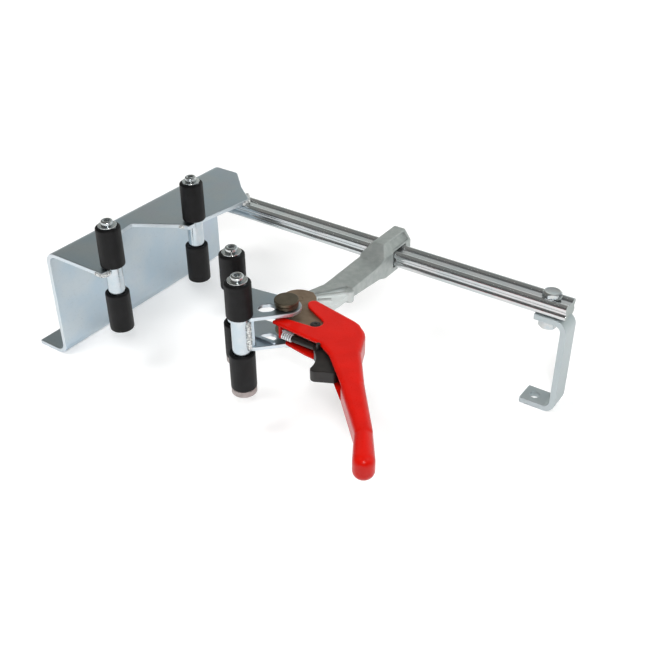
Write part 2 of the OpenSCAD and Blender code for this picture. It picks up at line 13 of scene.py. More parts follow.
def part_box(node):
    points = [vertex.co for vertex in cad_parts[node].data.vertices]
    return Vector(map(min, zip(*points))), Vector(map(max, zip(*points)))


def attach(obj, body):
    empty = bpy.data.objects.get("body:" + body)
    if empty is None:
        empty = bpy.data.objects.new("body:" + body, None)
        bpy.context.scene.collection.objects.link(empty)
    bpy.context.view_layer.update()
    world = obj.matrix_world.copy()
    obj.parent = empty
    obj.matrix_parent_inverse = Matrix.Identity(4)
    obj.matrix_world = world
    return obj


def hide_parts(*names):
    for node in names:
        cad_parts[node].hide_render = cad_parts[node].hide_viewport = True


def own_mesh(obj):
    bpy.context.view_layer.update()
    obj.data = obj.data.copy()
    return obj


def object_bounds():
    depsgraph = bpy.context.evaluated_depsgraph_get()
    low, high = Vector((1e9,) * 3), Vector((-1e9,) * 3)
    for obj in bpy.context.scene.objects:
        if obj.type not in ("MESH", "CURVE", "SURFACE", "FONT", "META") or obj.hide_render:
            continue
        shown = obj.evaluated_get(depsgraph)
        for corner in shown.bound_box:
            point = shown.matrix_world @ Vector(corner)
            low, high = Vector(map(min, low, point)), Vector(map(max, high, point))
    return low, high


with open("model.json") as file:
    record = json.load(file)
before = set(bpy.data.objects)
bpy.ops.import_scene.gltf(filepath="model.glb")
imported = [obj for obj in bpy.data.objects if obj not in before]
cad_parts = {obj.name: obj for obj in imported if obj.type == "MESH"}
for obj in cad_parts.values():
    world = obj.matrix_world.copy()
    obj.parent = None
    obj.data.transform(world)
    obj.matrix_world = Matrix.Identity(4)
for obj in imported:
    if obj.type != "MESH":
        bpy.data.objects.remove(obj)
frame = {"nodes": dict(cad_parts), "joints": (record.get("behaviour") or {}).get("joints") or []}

cad_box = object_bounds()
MM = 0.001
scene = bpy.context.scene


# Camera, fitted to the photograph

camera_spot = Vector((0.2688, -0.7736, 0.6186))
camera_turn = math.radians(34.99)
camera_tilt = math.radians(33.47)
camera_roll = math.radians(-0.47)
camera_angle = math.radians(38.51)
sensor_width = 36


def make_camera():
    """Camera of the photograph, from its turn about Z, its tilt, its roll and its angle of view."""
    right = Vector((math.cos(camera_turn), math.sin(camera_turn), 0))
    level = Vector((math.sin(camera_turn), -math.cos(camera_turn), 0))
    back = level * math.cos(camera_tilt) + Vector((0, 0, math.sin(camera_tilt)))
    axes = Matrix((right, back.cross(right), back)).transposed().to_4x4()
    camera = bpy.data.objects.new("camera", bpy.data.cameras.new("camera"))
    scene.collection.objects.link(camera)
    camera.data.sensor_width = sensor_width
    camera.data.lens = sensor_width / 2 / math.tan(camera_angle / 2)
    camera.matrix_world = Matrix.Translation(camera_spot) @ axes @ Matrix.Rotation(camera_roll, 4, "Z")
    scene.camera = camera


# Shader trees written as expressions

class Wire:
    """A shader value that takes part in Python expressions."""

    def __init__(self, graph, socket):
        self.graph = graph
        self.socket = socket

    def __add__(self, other):
        return self.graph.math("ADD", self, other)

    def __sub__(self, other):
        return self.graph.math("SUBTRACT", self, other)

    def __mul__(self, other):
        return self.graph.math("MULTIPLY", self, other)

    def __rsub__(self, other):
        return self.graph.math("SUBTRACT", other, self)

    __radd__ = __add__
    __rmul__ = __mul__

    def clip(self):
        """The value held between 0 and 1."""
        return self.graph.add("Clamp", sockets={"Value": self})

    def over(self, low, high):
        """A mask that rises from 0 at low to 1 at high."""
        return ((self - low) * (1 / (high - low))).clip()


class Graph:
    """A shader tree whose nodes all come from one method."""

    def __init__(self, tree):
        self.tree = tree
        tree.nodes.clear()

    def add(self, kind, settings=None, sockets=None, out=0):
        """New node of a kind, its settings set first and then its sockets, as the wire of one output."""
        node = self.tree.nodes.new("ShaderNode" + kind)
        for key, value in (settings or {}).items():
            setattr(node, key, value)
        for key, value in (sockets or {}).items():
            self.feed(node.inputs[key], value)
        return Wire(self, node.outputs[out]) if node.outputs else None

    def feed(self, socket, value):
        """Links a wire to a socket, or sets a plain value on it."""
        if isinstance(value, Wire):
            self.tree.links.new(value.socket, socket)
        else:
            socket.default_value = value

    def math(self, operation, a, b):
        return self.add("Math", {"operation": operation}, {0: a, 1: b})

    def mix(self, mask, a, b):
        """Colour a where the mask is 0, colour b where it is 1, by the Mix node's colour sockets."""
        return self.add("Mix", {"data_type": "RGBA"}, {0: mask, 6: a, 7: b}, out=2)

    def noise(self, size, stretch=(1, 1, 1), detail=3.0):
        """Cloudy value whose lumps are about size millimetres, longer where stretch is under 1."""
        place = self.add("TexCoord", out="Object")
        place = self.add("VectorMath", {"operation": "MULTIPLY"}, {0: place, 1: stretch})
        sockets = {"Vector": place, "Scale": 1 / (size * MM), "Detail": detail}
        return self.add("TexNoise", sockets=sockets)

    def bump(self, height, depth):
        """Normal of a relief that is depth millimetres deep."""
        return self.add("Bump", sockets={"Height": height, "Distance": depth * MM}, out="Normal")


class Finish(Graph):
    """A material with one Principled shader: constant sockets are given, and feeds() links the others."""

    def __init__(self, name, sockets):
        self.material = bpy.data.materials.new(name)
        self.material.use_nodes = True
        super().__init__(self.material.node_tree)
        shader = self.add("BsdfPrincipled", sockets=sockets)
        self.shader = shader.socket.node
        self.add("OutputMaterial", sockets={"Surface": shader})

    def feeds(self, name, value):
        self.feed(self.shader.inputs[name], value)


def shade(red, green, blue):
    """Shader colour of a screen colour given in 0 to 255."""
    def light(value):
        value /= 255
        return value / 12.92 if value <= 0.04045 else ((value + 0.055) / 1.055) ** 2.4
    return (light(red), light(green), light(blue), 1)


def grey(value):
    """Shader colour of an even grey."""
    return (value, value, value, 1)


# Finishes, whose noise sizes and relief depths are in millimetres

def zinc_sheet(name, plain, pale, cut, metal=1.0):
    """Bright zinc on rolled sheet: bluish and clouded, with fine rolling lines, and a painted highlight on
    its edges and walls: paler and less metallic there, so the lamps light them.
    """
    zinc = Finish(name, {})
    edge = zinc.add("Attribute", {"attribute_name": "cut_metal_and_edge_highlight"}, out="Fac")
    cloud = zinc.noise(38)
    rolled = zinc.noise(1.2, stretch=(1, 0.03, 1), detail=2)
    speck = zinc.noise(2.2)
    tint = zinc.mix(cloud.over(0.35, 0.65), plain, pale)
    tint = zinc.mix(zinc.noise(60).over(0.55, 0.75) * 0.35, tint, shade(190, 188, 208))
    tint = zinc.mix(speck.over(0.58, 0.75) * 0.3, tint, shade(160, 168, 172))
    # Painted highlight: the cut colour on edges and walls stands in for the light that their rounded rims
    # catch.
    zinc.feeds("Base Color", zinc.mix(edge * 0.8, tint, cut))
    zinc.feeds("Metallic", metal - 0.35 * edge)
    zinc.feeds("Roughness", 0.27 + 0.14 * cloud + 0.1 * rolled)
    zinc.feeds("Normal", zinc.bump(rolled + 0.6 * speck, 0.02))
    return zinc.material


# Where the arm's lower tongue begins, along Y and in height, in metres: from there on the cast gets a
# painted sheen
tongue_reach = -0.09, -0.104
tongue_height = 0.1265, 0.125


def zinc_cast():
    """Zinc over a sand casting: greyer, matt and pitted, with a painted sheen on the lower tongue: paler
    and less metallic there.
    """
    cast = Finish("zinc_cast", {})
    sand = cast.noise(0.9, detail=5)
    lump = cast.noise(7)
    tint = cast.mix(lump.over(0.35, 0.7), shade(166, 173, 171), shade(182, 187, 185))
    tint = cast.mix(sand.over(0.55, 0.8) * 0.5, tint, shade(134, 140, 138))
    place = cast.add("TexCoord", out="Object")
    beyond = cast.add("SeparateXYZ", sockets={0: place}, out="Y").over(*tongue_reach)
    below = cast.add("SeparateXYZ", sockets={0: place}, out="Z").over(*tongue_height)
    # Painted sheen: the lower tongue is paler and less metallic, standing in for the light it catches.
    tongue = beyond * below
    cast.feeds("Base Color", cast.mix(tongue * 0.75, tint, shade(218, 224, 223)))
    cast.feeds("Metallic", 0.7 - 0.35 * tongue)
    cast.feeds("Roughness", 0.4 + 0.2 * sand)
    cast.feeds("Normal", cast.bump(sand + 1.5 * lump, 0.12))
    return cast.material


def bright_bar():
    """Drawn bar with bright plating: faint lines along X for the rail, and duller sawn ends."""
    bar = Finish("bright_bar", {"Metallic": 0.92})
    drawn = bar.noise(0.5, stretch=(0.01, 1, 1), detail=2)
    cloud = bar.noise(22)
    sawn = bar.add("Attribute", {"attribute_name": "cut_metal_and_edge_highlight"}, out="Fac")
    tint = bar.mix(cloud.over(0.4, 0.7), shade(196, 202, 204), shade(206, 206, 207))
    bar.feeds("Base Color", bar.mix(sawn, tint, shade(150, 158, 156)))
    bar.feeds("Roughness", 0.1 + 0.12 * drawn + 0.25 * sawn)
    bar.feeds("Normal", bar.bump(drawn, 0.01))
    return bar.material


def bright_post():
    """The same bar standing up, with faint turned lines round it."""
    bar = Finish("bright_post", {"Metallic": 1.0})
    turned_lines = bar.noise(0.5, stretch=(0.05, 0.05, 1), detail=2)
    cloud = bar.noise(9)
    tint = bar.mix(cloud.over(0.4, 0.7), shade(184, 196, 203), shade(196, 202, 206))
    bar.feeds("Base Color", tint)
    bar.feeds("Roughness", 0.13 + 0.1 * turned_lines + 0.06 * cloud)
    bar.feeds("Normal", bar.bump(turned_lines, 0.008))
    return bar.material


def fastener_zinc():
    """Zinc on screws, washers and nuts: brighter and smoother than the sheet."""
    zinc = Finish("fastener_zinc", {"Metallic": 0.95})
    cloud = zinc.noise(5)
    grain = zinc.noise(0.6)
    tint = zinc.mix(cloud.over(0.35, 0.7), shade(182, 190, 194), shade(197, 198, 196))
    zinc.feeds("Base Color", tint)
    zinc.feeds("Roughness", 0.14 + 0.14 * grain)
    zinc.feeds("Normal", zinc.bump(grain, 0.015))
    return zinc.material


def spring_wire():
    """Bright drawn wire."""
    wire = Finish("spring_wire", {"Metallic": 0.55})
    drawn = wire.noise(0.6)
    tint = wire.mix(drawn.over(0.35, 0.7), shade(212, 222, 228), shade(236, 240, 242))
    wire.feeds("Base Color", tint)
    wire.feeds("Roughness", 0.16 + 0.14 * drawn)
    wire.feeds("Normal", wire.bump(drawn, 0.01))
    return wire.material


def weld_metal():
    """Plated weld bead: bright with rough grains."""
    weld = Finish("weld_metal", {"Metallic": 0.6})
    grain = weld.noise(1.6, detail=5)
    tint = weld.mix(grain.over(0.36, 0.56), shade(118, 124, 128), shade(238, 240, 238))
    weld.feeds("Base Color", tint)
    weld.feeds("Roughness", 0.22 + 0.3 * grain)
    weld.feeds("Normal", weld.bump(grain, 0.25))
    return weld.material


def sleeve_rubber():
    """Black rubber tube: satin, with faint moulding lines along it and rubbed grey patches."""
    rubber = Finish("sleeve_rubber", {"Specular IOR Level": 0.24})
    along = rubber.noise(1.6, stretch=(1, 1, 0.06), detail=3)
    rub = rubber.noise(11)
    grain = rubber.noise(0.5)
    tint = rubber.mix(rub.over(0.45, 0.8), shade(11, 11, 12), shade(21, 21, 23))
    rubber.feeds("Base Color", tint)
    rubber.feeds("Roughness", 0.42 + 0.2 * along)
    rubber.feeds("Normal", rubber.bump(grain + 2 * along, 0.05))
    return rubber.material


def red_dip():
    """Thick red dipped coating: glossy, with soft waves and faint dust."""
    red = Finish("red_dip", {"Specular IOR Level": 0.18, "Coat Roughness": 0.06})
    wave = red.noise(14, detail=1)
    dust = red.noise(0.7)
    tint = red.mix(wave.over(0.3, 0.7), shade(183, 14, 4), shade(192, 17, 6))
    red.feeds("Base Color", tint)
    red.feeds("Roughness", 0.24 + 0.1 * dust)
    red.feeds("Coat Weight", 0.06 + 0.06 * wave)
    red.feeds("Normal", red.bump(wave + 0.04 * dust, 0.12))
    return red.material


def brown_steel(name, dark, pale, worn):
    """Blackened steel that has turned brown: semi-bright, with brushed lines and lighter wear."""
    steel = Finish(name, {"Metallic": 0.8})
    lines = steel.noise(0.7, stretch=(0.06, 1, 1), detail=2)
    cloud = steel.noise(9)
    tint = steel.mix(cloud.over(0.35, 0.7), dark, pale)
    steel.feeds("Base Color", steel.mix(lines.over(0.6, 0.8) * 0.4, tint, worn))
    steel.feeds("Roughness", 0.3 + 0.16 * lines + 0.1 * cloud)
    steel.feeds("Normal", steel.bump(lines, 0.015))
    return steel.material


def brown_cap():
    """Brown-grey disc with a matt, slightly worn face."""
    disc = Finish("brown_cap", {"Metallic": 0.35})
    cloud = disc.noise(6)
    grain = disc.noise(0.8)
    tint = disc.mix(cloud.over(0.35, 0.7), shade(157, 147, 145), shade(172, 162, 160))
    disc.feeds("Base Color", tint)
    disc.feeds("Roughness", 0.42 + 0.2 * grain)
    disc.feeds("Normal", disc.bump(grain, 0.03))
    return disc.material


def black_moulding():
    """Satin black moulded plastic with a fine grain."""
    black = Finish("black_moulding", {"Specular IOR Level": 0.4})
    grain = black.noise(0.6)
    cloud = black.noise(8)
    tint = black.mix(cloud.over(0.4, 0.7), shade(24, 22, 21), shade(34, 31, 29))
    black.feeds("Base Color", tint)
    black.feeds("Roughness", 0.3 + 0.18 * grain)
    black.feeds("Normal", black.bump(grain, 0.02))
    return black.material


# Studio: white floor, pale wall behind the object, dark room behind the camera, soft lamps

# The paper: its white, its radius and drop in metres, and its glow close by and beyond the glow's reach
floor_white = 0.8
floor_radius = 6
floor_drop = 0.2 * MM
floor_glow = 0.28
far_glow = 0.5
glow_reach = 0.5, 1.6

# Colours of what the metal mirrors
pale_wall = (0.96, 1, 0.96, 1)
left_ceiling = (0.2, 0.2, 0.184, 1)
right_ceiling = grey(0.5)
dark_room = (0.05, 0.0475, 0.0475, 1)

# Where one changes to the next, as parts of a unit direction: upwards, to the right, towards the camera
ceiling_start = 0.4, 0.53
wall_start = -0.55, 0
right_start = 0.05, 0.2
room_start = 0.05, 0.45


def seen_directly(graph):
    """1 for rays that show the background: straight from the camera, mirrored or let through."""
    shown = graph.add("LightPath", out="Is Camera Ray")
    for kind in ("Is Glossy Ray", "Is Transmission Ray"):
        shown = graph.math("MAXIMUM", shown, graph.add("LightPath", out=kind))
    return shown


def make_floor():
    """White paper that shows the object's soft shadow and grows fully white away from it."""
    bm = bmesh.new()
    bmesh.ops.create_circle(bm, cap_ends=True, radius=floor_radius, segments=96)
    mesh = bpy.data.meshes.new("floor")
    bm.to_mesh(mesh)
    bm.free()
    floor = bpy.data.objects.new("floor", mesh)
    floor.location.z = -floor_drop
    scene.collection.objects.link(floor)
    material = bpy.data.materials.new("floor_paper")
    material.use_nodes = True
    paper = Graph(material.node_tree)
    tone = paper.mix(paper.noise(2).over(0.3, 0.7), grey(floor_white), grey(floor_white + 0.02))
    lit = paper.add("BsdfDiffuse", sockets={"Color": tone})
    middle = (cad_box[0] + cad_box[1]) / 2
    spot = paper.add("TexCoord", out="Object")
    away = paper.add("VectorMath", {"operation": "DISTANCE"}, {0: spot, 1: middle}, out="Value")
    glow = floor_glow + far_glow * away.over(*glow_reach)
    lift = paper.mix(seen_directly(paper) * glow, grey(0), grey(1))
    both = paper.add("AddShader", sockets={0: lit, 1: paper.add("Emission", sockets={"Color": lift})})
    paper.add("OutputMaterial", sockets={"Surface": both})
    mesh.materials.append(material)


def make_world():
    """Pale wall that dims upwards and to the left, a dark room behind the camera, and white to the eye."""
    world = bpy.data.worlds.new("studio")
    world.use_nodes = True
    scene.world = world
    air = Graph(world.node_tree)
    way = air.add("TexCoord", out="Generated")
    rise = air.add("SeparateXYZ", sockets={0: way}, out="Z")
    to_right = (math.cos(camera_turn), math.sin(camera_turn), 0)
    across = air.add("VectorMath", {"operation": "DOT_PRODUCT"}, {0: way, 1: to_right}, out="Value")
    above = air.mix(across.over(*right_start), left_ceiling, right_ceiling)
    pale = (1 - rise.over(*ceiling_start)) * across.over(*wall_start)
    wall = air.mix(pale, above, pale_wall)
    to_camera = (math.sin(camera_turn), -math.cos(camera_turn), 0)
    facing = air.add("VectorMath", {"operation": "DOT_PRODUCT"}, {0: way, 1: to_camera}, out="Value")
    room = air.mix(facing.over(*room_start), wall, dark_room)
    shown = air.mix(air.add("LightPath", out="Is Camera Ray"), room, grey(1))
    light = air.add("Background", sockets={"Color": shown, "Strength": 1.0})
    air.add("OutputWorld", sockets={"Surface": light})


def lamp(name, turn, tilt, distance, size, power, mirrored=False):
    """Soft square lamp that looks at the object's middle from a turn and a tilt in degrees."""
    middle = (cad_box[0] + cad_box[1]) / 2
    turn, tilt = math.radians(turn), math.radians(tilt)
    level = Vector((math.sin(turn), -math.cos(turn), 0))
    back = level * math.cos(tilt) + Vector((0, 0, math.sin(tilt)))
    data = bpy.data.lights.new(name, "AREA")
    data.size = size
    data.energy = power
    thing = bpy.data.objects.new(name, data)
    thing.location = middle + back * distance
    thing.rotation_mode = "QUATERNION"
    thing.rotation_quaternion = back.to_track_quat("Z", "Y")
    thing.visible_glossy = mirrored
    scene.collection.objects.link(thing)


def make_studio():
    """Broad lamps that light without mirroring, and a small one by the camera for the highlights."""
    scene.view_settings.view_transform = "Standard"
    make_floor()
    make_world()
    lamp("key_lamp", turn=-35, tilt=62, distance=1.9, size=0.9, power=20)
    lamp("side_lamp", turn=100, tilt=50, distance=2.0, size=1.0, power=12)
    lamp("front_lamp", turn=38, tilt=42, distance=2.2, size=0.7, power=15)
    lamp("camera_lamp", turn=40, tilt=38, distance=1.2, size=0.08, power=3.0, mirrored=True)


# Mesh makers, all in millimetres

def evaluated(thing):
    """Mesh of an object with its modifiers, the object itself removed."""
    scene.collection.objects.link(thing)
    mesh = bpy.data.meshes.new_from_object(thing.evaluated_get(bpy.context.evaluated_depsgraph_get()))
    bpy.data.objects.remove(thing)
    return mesh


def from_bmesh(bm):
    """Mesh with outward faces, the bmesh itself freed."""
    mesh = bpy.data.meshes.new("made")
    bmesh.ops.recalc_face_normals(bm, faces=bm.faces)
    bm.to_mesh(mesh)
    bm.free()
    return mesh


def joined(meshes):
    """One mesh out of several."""
    bm = bmesh.new()
    for mesh in meshes:
        bm.from_mesh(mesh)
    whole = bpy.data.meshes.new("joined")
    bm.to_mesh(whole)
    bm.free()
    return whole


def moved(mesh, *spot):
    """The same mesh, shifted."""
    mesh.transform(Matrix.Translation(spot))
    return mesh


def ray(angle):
    """Unit vector at an angle in degrees."""
    return Vector((math.cos(math.radians(angle)), math.sin(math.radians(angle))))


def arc(centre, radius, start, stop, steps=8):
    """Points along an arc from one angle in degrees to another."""
    return [Vector(centre) + radius * ray(start + (stop - start) * i / steps) for i in range(steps + 1)]


def rounded(corners, steps=6):
    """Closed outline through corners given as (x, y, radius), each rounded by an arc."""
    outline = []
    for i, (x, y, radius) in enumerate(corners):
        corner = Vector((x, y))
        before = (Vector(corners[i - 1][:2]) - corner).normalized()
        after = (Vector(corners[(i + 1) % len(corners)][:2]) - corner).normalized()
        half = before.angle(after) / 2
        centre = corner + (before + after).normalized() * radius / math.sin(half)
        first = corner + before * radius / math.tan(half) - centre
        sweep = first.angle_signed(corner + after * radius / math.tan(half) - centre)
        for k in range(steps + 1):
            outline.append(centre + Matrix.Rotation(-sweep * k / steps, 2) @ first)
    return outline


def plate(loops, low, high, rim, steps=3):
    """Slab between two heights with the given outlines, holes among them, and rounded rims."""
    curve = bpy.data.curves.new("outline", "CURVE")
    curve.dimensions = "2D"
    curve.fill_mode = "BOTH"
    curve.extrude = (high - low) / 2 - rim
    curve.bevel_depth = rim
    curve.bevel_resolution = steps
    curve.offset = -rim
    for loop in loops:
        spline = curve.splines.new("POLY")
        spline.points.add(len(loop) - 1)
        for point, (x, y) in zip(spline.points, loop):
            point.co = (x, y, 0, 1)
        spline.use_cyclic_u = True
    mesh = evaluated(bpy.data.objects.new("outline", curve))
    return moved(mesh, 0, 0, (low + high) / 2)


def circle(centre, radius, sides=48):
    """Closed outline of a circle."""
    return arc(centre, radius, 0, 360 * (1 - 1 / sides), sides - 1)


def at(value, angle):
    """A number, or what a function of the angle gives."""
    return value(angle) if callable(value) else value


def turned(profile, sides=64, closed=False):
    """Mesh round Z from (radius, height) points. Either may be a function of the angle in degrees."""
    bm = bmesh.new()
    rings = []
    for radius, height in profile:
        ring = []
        for k in range(sides):
            angle = 360 * k / sides
            side = ray(angle) * at(radius, angle)
            ring.append(bm.verts.new((side.x, side.y, at(height, angle))))
        rings.append(ring)
    pairs = list(zip(rings, rings[1:]))
    if closed:
        pairs.append((rings[-1], rings[0]))
    else:
        bm.faces.new(rings[0])
        bm.faces.new(rings[-1])
    for lower, upper in pairs:
        for k in range(sides):
            following = (k + 1) % sides
            bm.faces.new((lower[k], lower[following], upper[following], upper[k]))
    bmesh.ops.remove_doubles(bm, verts=bm.verts, dist=1e-5)
    return from_bmesh(bm)


def hexagon(flats, turn=0):
    """Radius at an angle of a hexagon across flats that is turned by some degrees."""
    return lambda angle: flats / 2 / math.cos(math.radians((angle - turn) % 60 - 30))


def limb(a, radius_a, b, radius_b, steps=12):
    """Outline that runs straight from one circle to another."""
    along = Vector(b) - Vector(a)
    way = math.degrees(math.atan2(along.y, along.x))
    lean = math.degrees(math.acos((radius_a - radius_b) / along.length))
    back = arc(a, radius_a, way + lean, way + 360 - lean, 2 * steps)
    return back + arc(b, radius_b, way - lean, way + lean, steps)


def fillet(radius, height, size, start, stop, steps=5):
    """Profile points of a rounded edge about (radius, height)."""
    return [tuple(p) for p in arc((radius, height), size, start, stop, steps)]


def folded(start, heading, runs):
    """Function from the length along a bent strip to its place and heading in degrees, and its bends.

    Runs are straight lengths and bends, the latter as (turn in degrees, middle radius). Each bend comes
    back as the length where it starts and its own length.
    """
    legs = []
    bends = []
    spot, way, reach = Vector(start), heading, 0.0
    for run in runs:
        legs.append((reach, spot, way, run))
        if isinstance(run, tuple):
            turn, radius = run
            side = math.copysign(90, turn)
            spot = spot + radius * (ray(way + side) - ray(way + turn + side))
            way += turn
            bends.append((reach, math.radians(abs(turn)) * radius))
            reach += bends[-1][1]
        else:
            spot = spot + run * ray(way)
            reach += run

    def place(length):
        first, base, angle, run = [leg for leg in legs if leg[0] <= length + 1e-6 or leg is legs[0]][-1]
        past = length - first
        if not isinstance(run, tuple):
            return base + past * ray(angle), angle
        turn, radius = run
        side = math.copysign(90, turn)
        now = angle + math.copysign(math.degrees(past / radius), turn)
        return base + radius * (ray(angle + side) - ray(now + side)), now

    return place, bends


def mark_cut_and_highlight(mesh, share):
    """Marks each face with a share for the finish to read: sawn metal on the rail's ends, a painted edge
    highlight on the sheets.
    """
    mask = mesh.attributes.new("cut_metal_and_edge_highlight", "FLOAT", "FACE")
    for face in mesh.polygons:
        mask.data[face.index].value = min(1, max(0, share(face)))
    return mesh


def highlight_share(face):
    """Share of painted edge highlight on a level sheet: none on its faces, half on its walls, most on its
    rims.
    """
    upright, level, spread = 0.2, 0.9, 0.5
    wall_share = 0.5
    tilt = abs(face.normal.z)
    return wall_share if tilt < upright else (level - tilt) / spread


def bent_sheet(loops, thickness, rim, path, bend_steps=10):
    """Flat outlines in (length along the strip, place across it), bent along a path in the XZ plane."""
    place, bends = path
    mesh = mark_cut_and_highlight(plate(loops, -thickness / 2, thickness / 2, rim), highlight_share)
    bm = bmesh.new()
    bm.from_mesh(mesh)
    for first, span_of_bend in bends:
        for k in range(bend_steps + 1):
            everything = bm.verts[:] + bm.edges[:] + bm.faces[:]
            cut = (first + span_of_bend * k / bend_steps, 0, 0)
            bmesh.ops.bisect_plane(bm, geom=everything, plane_co=cut, plane_no=(1, 0, 0), dist=1e-4)
    for vert in bm.verts:
        along, across, depth = vert.co
        spot, way = place(along)
        off = spot + depth * ray(way + 90)
        vert.co = (off.x, across, off.y)
    return from_bmesh(bm)


def cad_shape(node):
    """A CAD node's shape as a new mesh in millimetres."""
    mesh = frame["nodes"][node].data.copy()
    mesh.materials.clear()
    mesh.transform(Matrix.Scale(1 / MM, 4))
    return mesh


def carved(mesh, tools, operation="DIFFERENCE"):
    """A mesh with tool meshes taken out of it, or kept only where it lies inside them."""
    thing = bpy.data.objects.new("carved", mesh)
    helpers = []
    for tool in tools:
        helper = bpy.data.objects.new("tool", tool)
        scene.collection.objects.link(helper)
        helpers.append(helper)
        cut = thing.modifiers.new("cut", "BOOLEAN")
        cut.operation = operation
        cut.object = helper
    mesh = evaluated(thing)
    for helper in helpers:
        bpy.data.objects.remove(helper)
    return mesh


def worn(mesh, voxel, rounds, keep=0.3):
    """Overlapping shapes as one skin with its edges worn round."""
    thing = bpy.data.objects.new("worn", mesh)
    skin = thing.modifiers.new("skin", "REMESH")
    skin.mode = "VOXEL"
    skin.voxel_size = voxel
    smooth = thing.modifiers.new("smooth", "SMOOTH")
    smooth.iterations = rounds
    thin = thing.modifiers.new("thin", "DECIMATE")
    thin.ratio = keep
    return evaluated(thing)


def tube(path, radius, sides=10, swell=None):
    """Round bar along a path of points. swell gives a share of the radius at each point and side."""
    bm = bmesh.new()
    rings = []
    for i, spot in enumerate(path):
        ahead = (path[min(i + 1, len(path) - 1)] - path[max(i - 1, 0)]).normalized()
        if i == 0:
            side = ahead.orthogonal().normalized()
        else:
            side = (side - ahead * side.dot(ahead)).normalized()
        other = ahead.cross(side)
        ring = []
        for k in range(sides):
            out = side * math.cos(math.tau * k / sides) + other * math.sin(math.tau * k / sides)
            share = swell(i, out) if swell else 1
            ring.append(bm.verts.new(spot + out * radius * share))
        rings.append(ring)
    for lower, upper in zip(rings, rings[1:]):
        for k in range(sides):
            following = (k + 1) % sides
            bm.faces.new((lower[k], lower[following], upper[following], upper[k]))
    bm.faces.new(rings[0])
    bm.faces.new(rings[-1])
    return from_bmesh(bm)


def weld_bead(path, radius, pitch=1.6):
    """Lumpy bead along a path: overlapping ripples with uneven edges, tapering at both ends."""
    points = [Vector(p) for p in path]
    per_ripple = 4
    steps = []
    for a, b in zip(points, points[1:]):
        count = max(2, round((b - a).length / (pitch / per_ripple)))
        steps += [a.lerp(b, k / count) for k in range(count)]
    steps.append(points[-1])

    def swell(i, out):
        ripple = abs(math.sin(math.pi * i / per_ripple))
        end = min(1, 0.45 + 0.14 * min(i, len(steps) - 1 - i))
        rough = noise.noise((steps[i] + out * radius) * 0.9)
        return end * (0.86 + 0.16 * ripple + 0.4 * rough)

    return tube(steps, radius, sides=14, swell=swell)


# Pieces on their bodies

def span(node):
    """Lowest and highest corner of a CAD node in millimetres."""
    low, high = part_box(node)
    return low / MM, high / MM


def middle_of(node):
    """Centre of a CAD node's box in millimetres."""
    low, high = span(node)
    return (low + high) / 2


def joint_spot(name):
    """Place of a joint's axis in millimetres."""
    return Vector(next(j["pos_m"] for j in frame["joints"] if j["name"] == name)) / MM


def piece(name, mesh, body, finish, slot, *nodes):
    """Object of a mesh in millimetres that rides on a body and stands for CAD nodes."""
    mesh.transform(Matrix.Scale(MM, 4))
    mesh.name = name
    mesh.materials.append(finish)
    mesh.shade_smooth()
    mesh.set_sharp_from_angle(angle=math.radians(40))
    thing = bpy.data.objects.new(name, mesh)
    scene.collection.objects.link(thing)
    flat = thing.modifiers.new("flat_faces", "WEIGHTED_NORMAL")
    flat.keep_sharp = True
    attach(thing, body)
    if nodes:
        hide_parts(*nodes)
    return thing


def at_spots(mesh, spots):
    """Copies of a mesh at plan points."""
    return joined([moved(mesh.copy(), x, y, 0) for x, y in spots])


# The third colour of each sheet finish is its painted edge highlight.
zinc = zinc_sheet("zinc_sheet", shade(178, 194, 205), shade(190, 200, 206), shade(234, 238, 240))
foot_zinc = zinc_sheet("zinc_foot", shade(166, 177, 180), shade(176, 185, 187), shade(184, 194, 197),
                       metal=0.65)
cast_zinc = zinc_cast()
bar_along = bright_bar()
bar_upright = bright_post()
small_zinc = fastener_zinc()
coil_wire = spring_wire()
weld_zinc = weld_metal()
rubber = sleeve_rubber()
red = red_dip()
brown = brown_steel("brown_steel", shade(132, 112, 92), shade(150, 130, 110), shade(168, 150, 132))
dark_brown = brown_steel("brown_pin", shade(88, 81, 67), shade(104, 95, 80), shade(126, 113, 100))
cap_brown = brown_cap()
black = black_moulding()

# Places from the frame, and sizes that several pieces share

rail_low, rail_high = span("rail")
mid_z = (rail_low.z + rail_high.z) / 2
web_x = rail_low.x
pin = joint_spot("jaw_swivel")
rivet = middle_of("lever_rivet")
bar_r = 9.0
clearance = 0.06


def upright_spots(node):
    """Axes of the far and the near post of a node, which stand at two corners of its box."""
    low, high = span(node)
    edge = Vector((bar_r, bar_r, 0))
    low, high = low + edge, high - edge
    return [(low.x, high.y), (high.x, low.y)]


def make_rail():
    """Drawn rail: a round bead at each corner, broad grooves above and below, narrow ones at the sides."""
    bead = 4.4
    groove = 2.5
    side_groove = 1.8
    end_rim = 0.4
    half_w, half_h = rail_high.y, (rail_high.z - rail_low.z) / 2
    side, level = half_w - bead, half_h - bead
    inner = 180 - math.degrees(math.asin((half_h - groove - level) / bead))
    outer = -math.degrees(math.acos((bead - side_groove) / bead))
    quarter = arc((side, level), bead, inner, outer, steps=26)
    upper = [Vector((-p.x, p.y)) for p in reversed(quarter)] + quarter
    outline = upper + [Vector((-p.x, -p.y)) for p in upper]
    section = plate([outline], rail_low.x, rail_high.x, end_rim, steps=2)
    axes = Matrix(((0, 0, 1), (1, 0, 0), (0, 1, 0))).to_4x4()
    section.transform(Matrix.Translation((0, 0, mid_z)) @ axes)
    mark_cut_and_highlight(section, lambda face: abs(face.normal.x) > 0.9)
    piece("rail_bar", section, "base", bar_along, "bright_bar", "rail")


